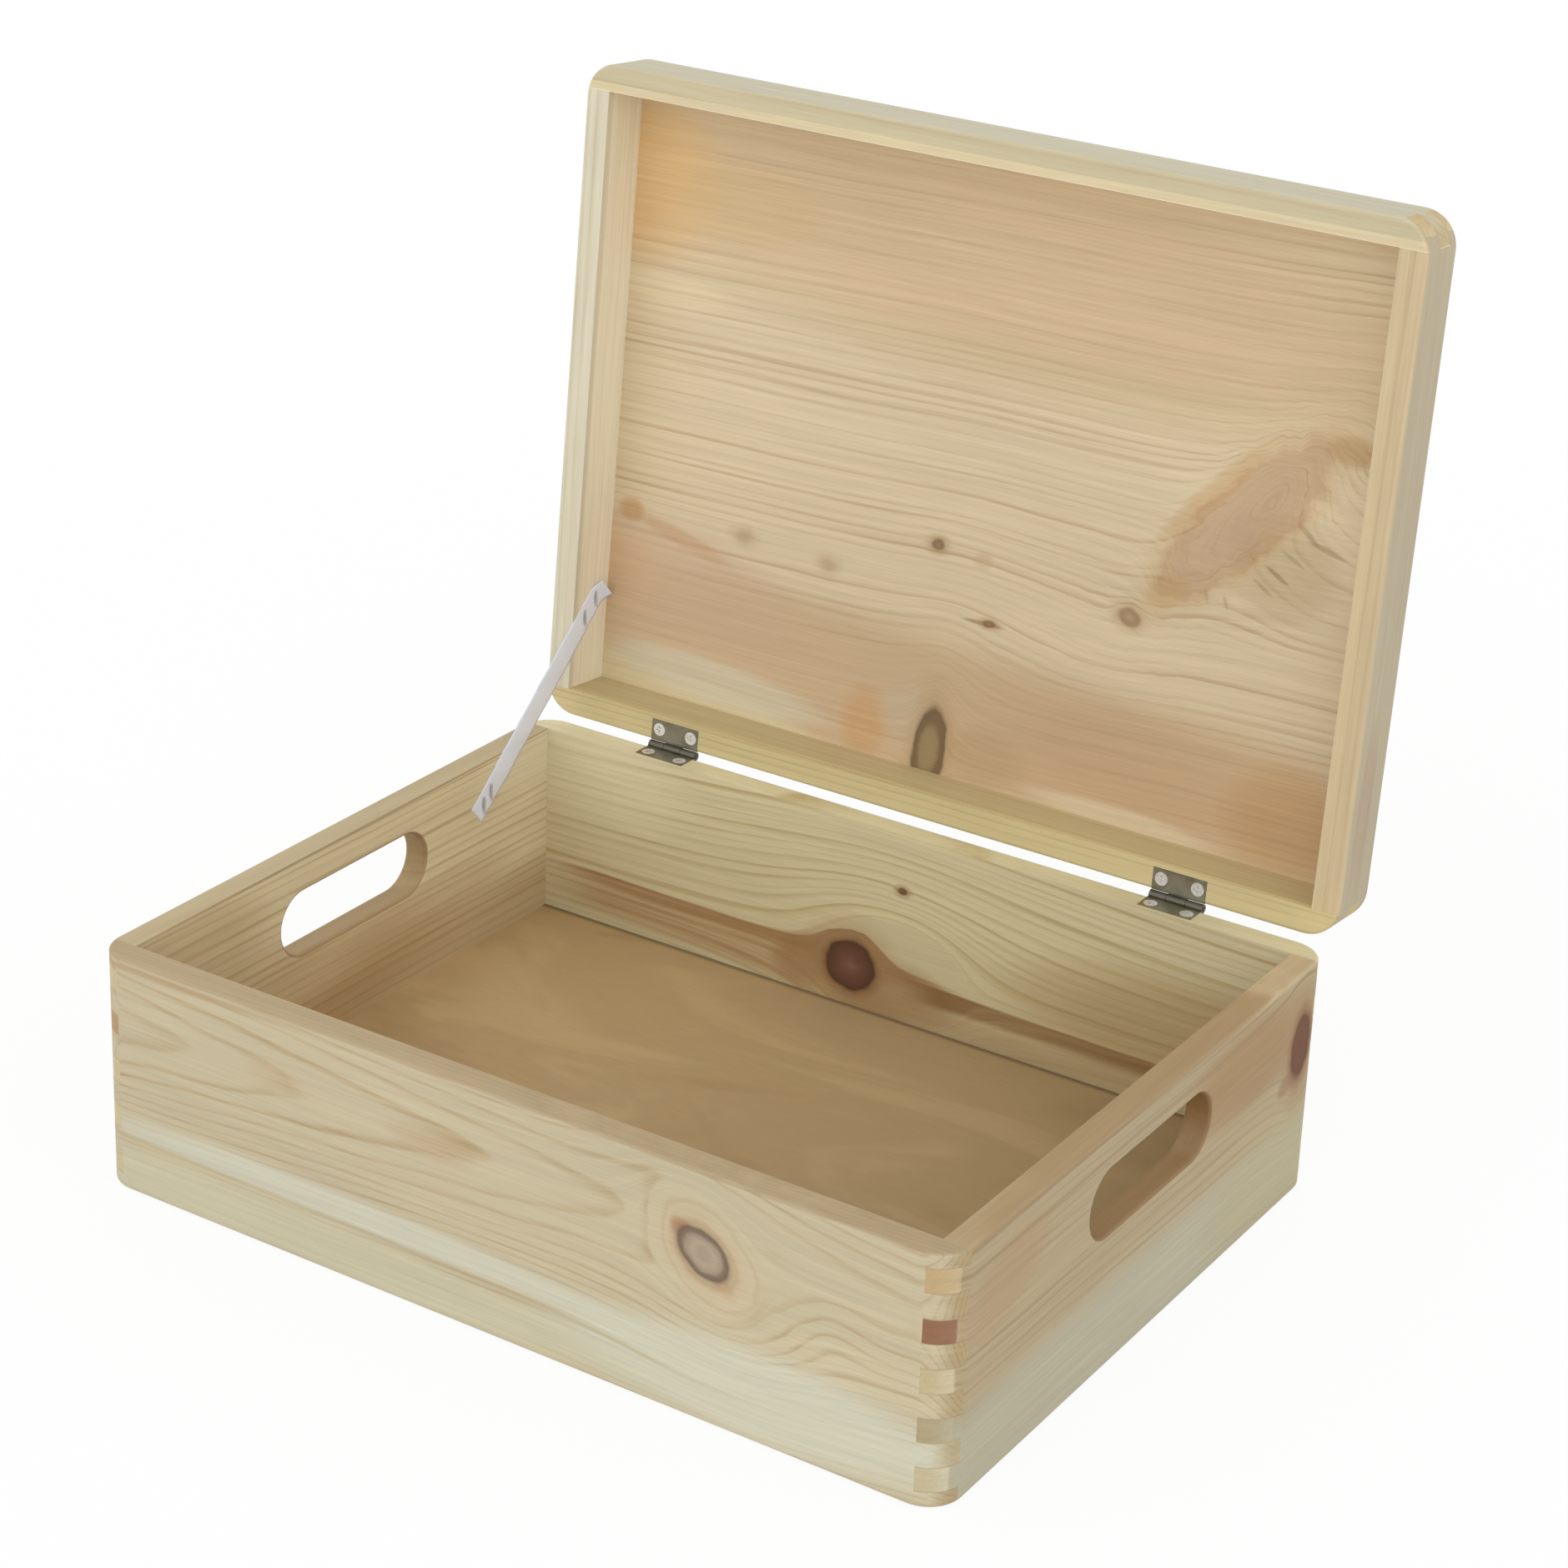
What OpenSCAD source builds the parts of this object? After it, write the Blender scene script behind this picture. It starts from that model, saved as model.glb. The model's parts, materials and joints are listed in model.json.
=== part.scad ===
// Hinged pine chest: a finger-jointed box whose lid was sawn off the same block,
// with hand slots in its sides, two butt hinges and a ribbon that stops the lid.
// Millimetres. +X to the right, -Y to the front, +Z up, drawn with the lid open.

/* [Box] */
// Outside width, left to right
box_width = 400; // [330:1:600]
// Outside depth, front to back
box_depth = 300; // [270:1:450]
// Height of the base, from the table to its rim
base_height = 105; // [98:1:180]
// Height of the lid, from its rim to its top
lid_height = 32.5; // [31:0.5:60]
// Thickness of the boards
board = 12; // [11:0.5:15]
// Radius of the upright corners
corner_radius = 15; // [8:0.5:18]
// Rounding of the outer edge of both rims
rim_rounding = 1.5; // [0.5:0.1:2.5]
// Rounding of the outer edge that stands on the table
foot_rounding = 2; // [0.5:0.1:4]
// Rounding of the lid's top edge
top_rounding = 6; // [1:0.5:7]
// Gap between the two rims when the lid is shut
rim_gap = 0.5; // [0.2:0.1:1.2]
// Angle by which the lid stands open
open_angle = 95; // [91:1:105]

/* [Finger joints] */
// Width of one finger
finger_width = 10.25; // [6:0.25:16]
// Height of the side boards' lowest finger above the table
first_finger = 7; // [4:0.5:16]
// Wood lost in the saw cut that parts the lid from the base
saw_cut = 2.5; // [1:0.1:4]

/* [Panels] */
// Thickness of the plywood bottom
bottom_thickness = 4; // [3:0.5:6]
// Height of the bottom's underside above the table
bottom_rise = 12; // [6:0.5:20]
// Depth of the groove that holds the bottom
groove_depth = 5; // [3:0.5:6]
// Thickness of the lid's panel
panel_thickness = 6.5; // [5:0.5:9]
// Width of the rebate that holds the lid's panel
rebate_width = 5; // [3:0.5:6]
// Clearance round the edges of both panels
panel_clearance = 0.1; // [0.05:0.05:0.4]

/* [Hand slots] */
// Length of a hand slot
slot_length = 97; // [70:1:120]
// Height of a hand slot
slot_height = 29; // [20:0.5:34]
// Distance of a slot's middle below the base's rim
slot_drop = 30.5; // [24:0.5:40]
// Rounding of a slot's edges
slot_rounding = 2; // [0.5:0.1:3]

/* [Hinges] */
// Distance of a hinge's middle from the end of the box
hinge_inset = 72; // [50:1:140]
// Length of a hinge
hinge_length = 25; // [24:0.5:40]
// Width of a leaf, from the back face
leaf_width = 10; // [9:0.1:10.5]
// Thickness of a leaf
leaf_thickness = 0.9; // [0.6:0.1:1.2]
// Clearance of a leaf in its recess, and of the knuckles from the back face
leaf_clearance = 0.1; // [0.05:0.01:0.3]
// Outside diameter of a knuckle
knuckle_diameter = 4; // [3.8:0.1:5]
// Length of the middle knuckle
middle_knuckle = 9; // [6:0.5:12]
// Gap between neighbouring knuckles
knuckle_gap = 0.2; // [0.1:0.05:0.5]
// Diameter of a hinge pin
pin_diameter = 2; // [1.4:0.1:2.4]
// Clearance between a pin and its bore, on the radius
pin_clearance = 0.05; // [0.02:0.01:0.1]
// Length of pin that stands out at each end
pin_proud = 0.4; // [0.2:0.1:1]

/* [Screws] */
// Diameter of a screw's shank
screw_diameter = 2.5; // [2:0.1:3]
// Length of a screw
screw_length = 12; // [8:0.5:16]
// Diameter of a screw's countersunk head
head_diameter = 6; // [5:0.1:6.6]
// Distance between the two screws of a leaf
screw_spacing = 17; // [12:0.5:17]
// Distance of the screws from the back face
screw_inset = 5.5; // [4.5:0.1:6]
// Clearance of screws and staples in their holes, on the radius
screw_clearance = 0.1; // [0.05:0.01:0.2]
// Width of one arm of a head's cross recess
cross_width = 0.7; // [0.4:0.1:1]
// Length of the cross recess
cross_length = 3.2; // [2:0.1:4]
// Depth of the cross recess
cross_depth = 0.8; // [0.4:0.1:1]

/* [Ribbon stay] */
// Width of the ribbon
ribbon_width = 12; // [7:0.5:14]
// Thickness of the ribbon
ribbon_thickness = 0.5; // [0.3:0.1:1]
// Gap between the ribbon and the wood behind it
ribbon_gap = 0.1; // [0.05:0.05:0.3]
// Distance of the ribbon's lower end from the back face
ribbon_base_inset = 65; // [50:1:80]
// Distance of the ribbon's lower end below the base's rim
ribbon_base_drop = 25; // [20:1:40]
// Distance of the ribbon's upper end from the back face, measured along the lid
ribbon_lid_inset = 57; // [45:1:75]
// Distance of the ribbon's upper end from the lid's rim
ribbon_lid_rise = 21; // [18:0.5:21.5]
// Distance between the legs of a staple
staple_crown = 8; // [5:0.5:9]
// Length of a staple's legs in the wood
staple_leg = 6; // [4:0.5:8]
// Diameter of a staple's wire
staple_wire = 0.7; // [0.5:0.1:1]
// Angle of a staple across the ribbon's length
staple_angle = 50; // [40:1:90]
// Distance of the outer staple from the ribbon's end
staple_end = 6.5; // [5:0.5:8]
// Distance between the two staples in the base
base_staple_step = 7; // [4:0.5:10]
// Distance between the two staples in the lid
lid_staple_step = 11; // [4:0.5:12]

/* [Hidden] */

$fn = 48;
// Length by which a cut runs past the face that it opens
over = 1;

half_width = box_width / 2;
half_depth = box_depth / 2;
inner_half_width = half_width - board;
inner_half_depth = half_depth - board;
hinge_offset = half_width - hinge_inset;
lid_rim = base_height + rim_gap;
lid_top = lid_rim + lid_height;
// Height of the glued block before the lid was sawn off
block_height = base_height + saw_cut + lid_height;

// The pin lies behind the back face, midway between the two shut rims
pin_out = knuckle_diameter / 2 + leaf_clearance;
pin_y = half_depth + pin_out;
pin_z = base_height + rim_gap / 2;
outer_knuckle = (hinge_length - middle_knuckle) / 2 - knuckle_gap;
head_depth = (head_diameter - screw_diameter) / 2;

// A point of the shut lid, [y, z], after the lid is opened
function opened(p) = [
    pin_y + (p.x - pin_y) * cos(open_angle) + (p.y - pin_z) * sin(open_angle),
    pin_z - (p.x - pin_y) * sin(open_angle) + (p.y - pin_z) * cos(open_angle)
];

// The open lid reaches furthest back at the rounding of its top front edge
lid_reach = opened([top_rounding - half_depth, lid_top - top_rounding]).x + top_rounding;
rest_middle = (lid_reach - half_depth) / 2;

// The ribbon runs straight from the base's left board to the lid's left rail
ribbon_start = [half_depth - ribbon_base_inset, base_height - ribbon_base_drop];
ribbon_finish = opened([half_depth - ribbon_lid_inset, lid_rim + ribbon_lid_rise]);
ribbon_run = ribbon_finish - ribbon_start;
ribbon_length = norm(ribbon_run);
ribbon_slope = atan2(ribbon_run.y, ribbon_run.x);
base_staples = [staple_end, staple_end + base_staple_step];
lid_staples = [ribbon_length - staple_end, ribbon_length - staple_end - lid_staple_step];
// Height of a crown's middle off the wood: it lies on the ribbon with half the ribbon's gap to spare
crown_height = ribbon_gap + ribbon_thickness + ribbon_gap / 2 + staple_wire / 2;

pine = "#d8c79b";
pine_panel = "#d3b78c";
plywood = "#b39a6f";
nickel = "#7d7a6c";
zinc = "#d9d6cc";
satin_white = "#d9d9df";

// Places

// The part's origin is on the table, under the middle of the open chest
module base_place() {
    translate([0, -rest_middle, 0]) children();
}

// A turn about the hinge pins
module about_pin(angle) {
    translate([0, pin_y, pin_z]) rotate([angle, 0, 0]) translate([0, -pin_y, -pin_z]) children();
}

module lid_place() {
    base_place() about_pin(-open_angle) children();
}

// What is drawn on the base's rim, turned over onto the shut lid's rim
module lid_side() {
    translate([0, 0, 2 * pin_z]) mirror([0, 0, 1]) children();
}

// Blocks with rounded corners and edges

// Upright half section of a block, from its middle to its outer face
module edge_profile(reach, height, low, high) {
    square([reach - low, height / 2]);
    translate([0, height / 2]) square([reach - high, height / 2]);
    translate([0, low]) square([reach, height - low - high]);
    translate([reach - low, low]) circle(low);
    translate([reach - high, height - high]) circle(high);
}

module bar_profile(reach, height, low, high) {
    edge_profile(reach, height, low, high);
    mirror([1, 0]) edge_profile(reach, height, low, high);
}

// The whole outside of the base or of the lid, as one block
module rounded_block(height, low, high) {
    post_x = half_width - corner_radius;
    post_y = half_depth - corner_radius;
    for (x = [-post_x, post_x], y = [-post_y, post_y])
        translate([x, y, 0]) rotate_extrude() edge_profile(corner_radius, height, low, high);
    rotate([90, 0, 90]) linear_extrude(2 * post_x, center = true)
        bar_profile(half_depth, height, low, high);
    rotate([90, 0, 0]) linear_extrude(2 * post_y, center = true)
        bar_profile(half_width, height, low, high);
}

module base_block() {
    rounded_block(base_height, foot_rounding, rim_rounding);
}

module lid_block() {
    translate([0, 0, lid_rim]) rounded_block(lid_height, rim_rounding, top_rounding);
}

// Slabs, one board thick, from below the table to above the lid
module front_slab(side) {
    translate([-half_width - over, side > 0 ? inner_half_depth : -half_depth - over, -over])
        cube([box_width + 2 * over, board + over, block_height + 2 * over]);
}

module side_slab(side) {
    translate([side > 0 ? inner_half_width : -half_width - over, -half_depth - over, -over])
        cube([board + over, box_depth + 2 * over, block_height + 2 * over]);
}

// Finger joints

// The four upright corners where two boards cross
module corner_columns(low, height) {
    x = half_width - board / 2 + over / 2;
    y = half_depth - board / 2 + over / 2;
    for (side = [-x, x], end = [-y, y])
        translate([side, end, low + height / 2]) cube([board + over, board + over, height], center = true);
}

// What the side boards fill of the corners, row by row up the block
module side_fingers() {
    for (z = [first_finger : 2 * finger_width : block_height])
        corner_columns(z, finger_width);
}

// What the front and back boards fill of the corners
module front_fingers() {
    difference() {
        corner_columns(-over, block_height + 2 * over);
        side_fingers();
    }
}

// The lid keeps its rows from before the saw cut
module lid_rows() {
    translate([0, 0, rim_gap - saw_cut]) children();
}

// Panels and their seats

module bottom_block(clearance) {
    x = inner_half_width + groove_depth + clearance;
    y = inner_half_depth + groove_depth + clearance;
    translate([-x, -y, bottom_rise]) cube([2 * x, 2 * y, bottom_thickness]);
}

module panel_block(clearance) {
    x = inner_half_width + rebate_width + clearance;
    y = inner_half_depth + rebate_width + clearance;
    translate([-x, -y, lid_top - panel_thickness]) cube([2 * x, 2 * y, panel_thickness + over]);
}

// Hand slots

// Half section of a slot through a board, widening to a rounded edge at both faces
module slot_profile() {
    half = slot_height / 2;
    translate([0, -over]) square([half, board + 2 * over]);
    for (face = [0, 1])
        translate([0, face * board]) mirror([0, face]) {
            translate([0, -over]) square([half + slot_rounding, over]);
            difference() {
                square([half + slot_rounding, slot_rounding]);
                translate([half + slot_rounding, slot_rounding]) circle(slot_rounding);
            }
        }
}

module slot_cut(side) {
    straight = slot_length - slot_height;
    translate([side > 0 ? inner_half_width : -half_width, 0, base_height - slot_drop]) rotate([0, 90, 0]) {
        for (y = [-straight / 2, straight / 2])
            translate([0, y, 0]) rotate_extrude() slot_profile();
        translate([0, straight / 2, 0]) rotate([90, 0, 0]) linear_extrude(straight) {
            slot_profile();
            mirror([1, 0]) slot_profile();
        }
    }
}

// Screws

// One of a hinge's two screws, at the left or right end of its leaf
module at_screw(end) {
    translate([end * screw_spacing / 2, half_depth - screw_inset, base_height]) children();
}

module at_screws() {
    at_hinges() for (end = [-1, 1])
        at_screw(end) children();
}

// A countersunk head with its shank, standing head up with its face at the origin
module screw_body(clearance) {
    shank = screw_diameter / 2 + clearance;
    tip = screw_diameter;
    translate([0, 0, -head_depth]) cylinder(h = head_depth, r1 = shank, r2 = head_diameter / 2 + clearance);
    translate([0, 0, tip - screw_length]) cylinder(h = screw_length - tip - head_depth, r = shank);
    translate([0, 0, -screw_length - clearance]) cylinder(h = tip + clearance, r1 = shank / 4, r2 = shank);
}

module screw() {
    difference() {
        screw_body(0);
        for (turn = [0, 90])
            rotate(turn) translate([-cross_length / 2, -cross_width / 2, -cross_depth])
                cube([cross_length, cross_width, cross_depth + over]);
    }
}

// Head holes run on above the face, so that they open it cleanly
module screw_hole() {
    screw_body(screw_clearance);
    cylinder(h = over, r = head_diameter / 2 + screw_clearance);
}

// Hinges

module at_hinges() {
    for (hinge = [-1, 1])
        translate([hinge * hinge_offset, 0, 0]) children();
}

// Recesses in a rim for both leaves
module hinge_recesses() {
    length = hinge_length + 2 * leaf_clearance;
    width = leaf_width + leaf_clearance;
    at_hinges() translate([-length / 2, half_depth - width, base_height - leaf_thickness])
        cube([length, width + over, leaf_thickness + over]);
}

module knuckle(middle, length) {
    tongue = leaf_width / 2 + pin_out;
    translate([middle, pin_y, pin_z]) rotate([0, 90, 0])
        cylinder(h = length, d = knuckle_diameter, center = true);
    translate([middle - length / 2, pin_y - tongue, base_height - leaf_thickness])
        cube([length, tongue, leaf_thickness]);
}

// A leaf in its recess on the base's rim, with its knuckles given as [middle, length]
module leaf(knuckles) {
    difference() {
        union() {
            translate([-hinge_length / 2, half_depth - leaf_width, base_height - leaf_thickness])
                cube([hinge_length, leaf_width - leaf_clearance, leaf_thickness]);
            for (k = knuckles)
                knuckle(k[0], k[1]);
        }
        translate([0, pin_y, pin_z]) rotate([0, 90, 0])
            cylinder(h = hinge_length + 2 * over, r = pin_diameter / 2 + pin_clearance, center = true);
        for (end = [-1, 1])
            at_screw(end) screw_hole();
    }
}

module base_leaf(side) {
    middle = (hinge_length - outer_knuckle) / 2;
    color(nickel) base_place() translate([side * hinge_offset, 0, 0])
        leaf([[-middle, outer_knuckle], [middle, outer_knuckle]]);
}

module lid_leaf(side) {
    color(nickel) lid_place() lid_side() translate([side * hinge_offset, 0, 0]) leaf([[0, middle_knuckle]]);
}

module hinge_pin(side) {
    radius = pin_diameter / 2;
    color(nickel) base_place() translate([side * hinge_offset, pin_y, pin_z]) rotate([0, 90, 0]) {
        cylinder(h = hinge_length, r = radius, center = true);
        for (end = [0, 1])
            mirror([0, 0, end]) translate([0, 0, hinge_length / 2])
                cylinder(h = pin_proud, r1 = radius, r2 = radius - pin_proud / 2);
    }
}

// Ribbon and staples

// Along the ribbon: X off the wood, Y up the ribbon, Z across it, from the ribbon's lower end
module on_ribbon() {
    translate([-inner_half_width, ribbon_start.x, ribbon_start.y]) rotate([ribbon_slope, 0, 0]) children();
}

module at_staples(places) {
    on_ribbon() for (y = places)
        translate([0, y, 0]) rotate([staple_angle, 0, 0]) children();
}

module staple_legs(clearance) {
    for (y = [-staple_crown / 2, staple_crown / 2])
        translate([-staple_leg - clearance, y, 0]) rotate([0, 90, 0])
            cylinder(h = staple_leg + crown_height + clearance, d = staple_wire + 2 * clearance);
}

module staple() {
    staple_legs(0);
    for (y = [-staple_crown / 2, staple_crown / 2])
        translate([crown_height, y, 0]) sphere(d = staple_wire);
    translate([crown_height, staple_crown / 2, 0]) rotate([90, 0, 0])
        cylinder(h = staple_crown, d = staple_wire);
}

module staple_holes(places) {
    at_staples(places) staple_legs(screw_clearance);
}

// Boards of the base

module base_front(side) {
    difference() {
        intersection() {
            base_block();
            front_slab(side);
        }
        side_fingers();
        bottom_block(panel_clearance);
        if (side > 0) {
            hinge_recesses();
            at_screws() screw_hole();
        }
    }
}

module base_side(side) {
    difference() {
        intersection() {
            base_block();
            side_slab(side);
        }
        front_fingers();
        bottom_block(panel_clearance);
        slot_cut(side);
        if (side < 0)
            staple_holes(base_staples);
    }
}

module base_front_board() {
    color(pine) base_place() base_front(-1);
}

module base_back_board() {
    color(pine) base_place() base_front(1);
}

module base_left_board() {
    color(pine) base_place() base_side(-1);
}

module base_right_board() {
    color(pine) base_place() base_side(1);
}

module base_bottom_panel() {
    color(plywood) base_place() bottom_block(0);
}

// Rails and panel of the lid

module lid_front(side) {
    difference() {
        intersection() {
            lid_block();
            front_slab(side);
        }
        lid_rows() side_fingers();
        panel_block(panel_clearance);
        if (side > 0)
            lid_side() {
                hinge_recesses();
                at_screws() screw_hole();
            }
    }
}

module lid_end(side) {
    difference() {
        intersection() {
            lid_block();
            side_slab(side);
        }
        lid_rows() front_fingers();
        panel_block(panel_clearance);
        if (side < 0)
            about_pin(open_angle) staple_holes(lid_staples);
    }
}

module lid_front_rail() {
    color(pine) lid_place() lid_front(-1);
}

module lid_back_rail() {
    color(pine) lid_place() lid_front(1);
}

module lid_left_rail() {
    color(pine) lid_place() lid_end(-1);
}

module lid_right_rail() {
    color(pine) lid_place() lid_end(1);
}

module lid_panel() {
    color(pine_panel) lid_place() intersection() {
        lid_block();
        panel_block(0);
    }
}

// Fittings

module left_hinge_base_leaf() {
    base_leaf(-1);
}

module right_hinge_base_leaf() {
    base_leaf(1);
}

module left_hinge_lid_leaf() {
    lid_leaf(-1);
}

module right_hinge_lid_leaf() {
    lid_leaf(1);
}

module left_hinge_pin() {
    hinge_pin(-1);
}

module right_hinge_pin() {
    hinge_pin(1);
}

module base_hinge_screws() {
    color(zinc) base_place() at_screws() screw();
}

module lid_hinge_screws() {
    color(zinc) lid_place() lid_side() at_screws() screw();
}

module stay_ribbon() {
    color(satin_white) base_place() difference() {
        on_ribbon() translate([ribbon_gap, 0, -ribbon_width / 2])
            cube([ribbon_thickness, ribbon_length, ribbon_width]);
        staple_holes(concat(base_staples, lid_staples));
    }
}

module ribbon_base_staples() {
    color(zinc) base_place() at_staples(base_staples) staple();
}

module ribbon_lid_staples() {
    color(zinc) base_place() at_staples(lid_staples) staple();
}

base_front_board();
base_back_board();
base_left_board();
base_right_board();
base_bottom_panel();
lid_front_rail();
lid_back_rail();
lid_left_rail();
lid_right_rail();
lid_panel();
left_hinge_base_leaf();
right_hinge_base_leaf();
left_hinge_lid_leaf();
right_hinge_lid_leaf();
left_hinge_pin();
right_hinge_pin();
base_hinge_screws();
lid_hinge_screws();
stay_ribbon();
ribbon_base_staples();
ribbon_lid_staples();
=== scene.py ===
import json
import math

import bpy
from mathutils import Matrix, Vector

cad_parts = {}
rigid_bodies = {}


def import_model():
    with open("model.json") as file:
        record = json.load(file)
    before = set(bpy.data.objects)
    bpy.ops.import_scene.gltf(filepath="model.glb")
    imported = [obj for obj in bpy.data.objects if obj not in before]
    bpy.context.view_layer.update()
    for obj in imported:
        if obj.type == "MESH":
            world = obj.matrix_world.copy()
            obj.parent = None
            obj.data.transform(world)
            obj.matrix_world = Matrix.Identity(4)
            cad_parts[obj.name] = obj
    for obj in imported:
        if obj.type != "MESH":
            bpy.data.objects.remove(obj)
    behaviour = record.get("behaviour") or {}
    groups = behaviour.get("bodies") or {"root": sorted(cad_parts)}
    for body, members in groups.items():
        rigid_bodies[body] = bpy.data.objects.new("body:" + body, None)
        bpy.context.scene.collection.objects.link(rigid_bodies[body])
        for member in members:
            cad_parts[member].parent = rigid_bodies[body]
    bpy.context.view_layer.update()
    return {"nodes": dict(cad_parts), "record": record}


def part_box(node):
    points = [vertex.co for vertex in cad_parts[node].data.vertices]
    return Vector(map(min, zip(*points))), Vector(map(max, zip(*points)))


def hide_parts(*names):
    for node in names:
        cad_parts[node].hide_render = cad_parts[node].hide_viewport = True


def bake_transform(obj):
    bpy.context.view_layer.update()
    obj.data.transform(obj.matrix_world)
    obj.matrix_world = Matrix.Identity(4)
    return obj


for startup in list(bpy.data.objects):
    bpy.data.objects.remove(startup)
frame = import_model()
nodes = frame["nodes"]
lidJoint = next(j for j in frame["record"]["behaviour"]["joints"] if j["name"] == "lid_hinge")
pin = Vector(lidJoint["pos_m"])
closing = math.radians(lidJoint["range_deg"][1])
boxMiddle = Vector((0, (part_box("base_front_board")[0].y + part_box("base_back_board")[1].y) / 2, 0))
perMetre = 1000      # millimetres
anyDepth = 1e6       # mm, the depth of a mark that runs right through its board
midNoise = (0.5, 0.5, 0.5)
print("frame loaded,", len(nodes), "nodes")


# sRGB hex to linear light
def hexColour(text, alpha=1.0):
    parts = [int(text[i:i + 2], 16) / 255 for i in (1, 3, 5)]
    return tuple(p / 12.92 if p <= 0.04045 else ((p + 0.055) / 1.055) ** 2.4 for p in parts) + (alpha,)


def add(tree, kind, inputs=(), stops=None, **settings):
    node = tree.nodes.new("ShaderNode" + kind)
    for key, value in settings.items():
        setattr(node, key, value)
    if stops:
        ramp = node.color_ramp.elements
        while len(ramp) < len(stops):
            ramp.new(0.5)
        for element, (position, colour) in zip(ramp, stops):
            element.position = position
            element.color = colour
    sockets = [s for s in node.inputs if s.enabled]
    for key, value in (inputs.items() if isinstance(inputs, dict) else enumerate(inputs)):
        socket = sockets[key] if isinstance(key, int) else node.inputs[key]
        if isinstance(value, bpy.types.Node):
            value = next(s for s in value.outputs if s.enabled)
        if isinstance(value, bpy.types.NodeSocket):
            tree.links.new(value, socket)
        elif value is not None:
            socket.default_value = value
    return node


def calc(tree, operation, *values, **settings):
    return add(tree, "Math", values, operation=operation, **settings)


def softStep(tree, value, start, end, low, high):
    return add(tree, "MapRange", [value, start, end, low, high], interpolation_type="SMOOTHSTEP")


def mixColour(tree, share, first, second):
    return add(tree, "Mix", [share, first, second], data_type="RGBA")


# noise with grains of the given size in mm; unit is how many mm one step of the space stands for
def noiseOf(tree, space, size, detail, shift=(0, 0, 0), unit=1, roughness=0.5, distortion=0.0):
    scaled = add(tree, "Mapping", {"Vector": space, "Location": shift, "Scale": [unit / s for s in size]})
    return add(tree, "TexNoise", {
        "Vector": scaled, "Scale": 1, "Detail": detail, "Roughness": roughness, "Distortion": distortion})


# squared distance from a mark's middle, 1 at its edge
def fromMark(tree, space, mark):
    local = add(tree, "Mapping", {
        "Vector": space, "Location": (*mark["at"], 0), "Rotation": (0, 0, math.radians(mark.get("tilt", 0))),
        "Scale": (*mark["size"], anyDepth)}, vector_type="TEXTURE")
    return add(tree, "VectorMath", [local, local], operation="DOT_PRODUCT").outputs["Value"]


# the lines of the wood give way to a mark, less with the distance
def giveWay(tree, lines, mark, square):
    push = calc(tree, "DIVIDE", mark.get("push", 1.0), square, use_clamp=True)
    side = calc(tree, "SUBTRACT", lines, mark["at"][1])
    return calc(tree, "SUBTRACT", lines, calc(tree, "MULTIPLY", side, push))


# a swelling of the rings, highest in a mark's middle
def swelling(tree, square, height, fall=1.0):
    swell = calc(tree, "EXPONENT", calc(tree, "MULTIPLY", square, -fall))
    return calc(tree, "MULTIPLY", swell, height)


def swing(amount):
    return 1 - amount / 2, 1 + amount / 2


def newMaterial(name):
    material = bpy.data.materials.new(name)
    material.use_nodes = True
    material.node_tree.nodes.clear()
    return material, material.node_tree


def dress(material, *names):
    for name in names:
        obj = nodes[name]
        obj.data.materials.clear()
        obj.data.materials.append(material)


# camera, for a square picture
cameraSet = {
    "sensor": 36,
    "lens": 87.1045,
    "shiftY": -0.106383,
    "place": (0.7514737, -1.1776225, 0.7969542),
    "right": (0.83682586, 0.54636884, 0.03469256),
    "up": (-0.22952477, 0.29260063, 0.92827973),
    "back": (0.49703205, -0.78477128, 0.37026096),
}
cameraData = bpy.data.cameras.new("photoCamera")
cameraData.sensor_width = cameraSet["sensor"]
cameraData.lens = cameraSet["lens"]
cameraData.shift_y = cameraSet["shiftY"]
camera = bpy.data.objects.new("photoCamera", cameraData)
bpy.context.scene.collection.objects.link(camera)
cameraColumns = [(*cameraSet[key], 0) for key in ("right", "up", "back")] + [(*cameraSet["place"], 1)]
camera.matrix_world = Matrix(cameraColumns).transposed()
bpy.context.scene.camera = camera
bpy.context.scene.view_settings.view_transform = "Standard"
print("camera set")


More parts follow.
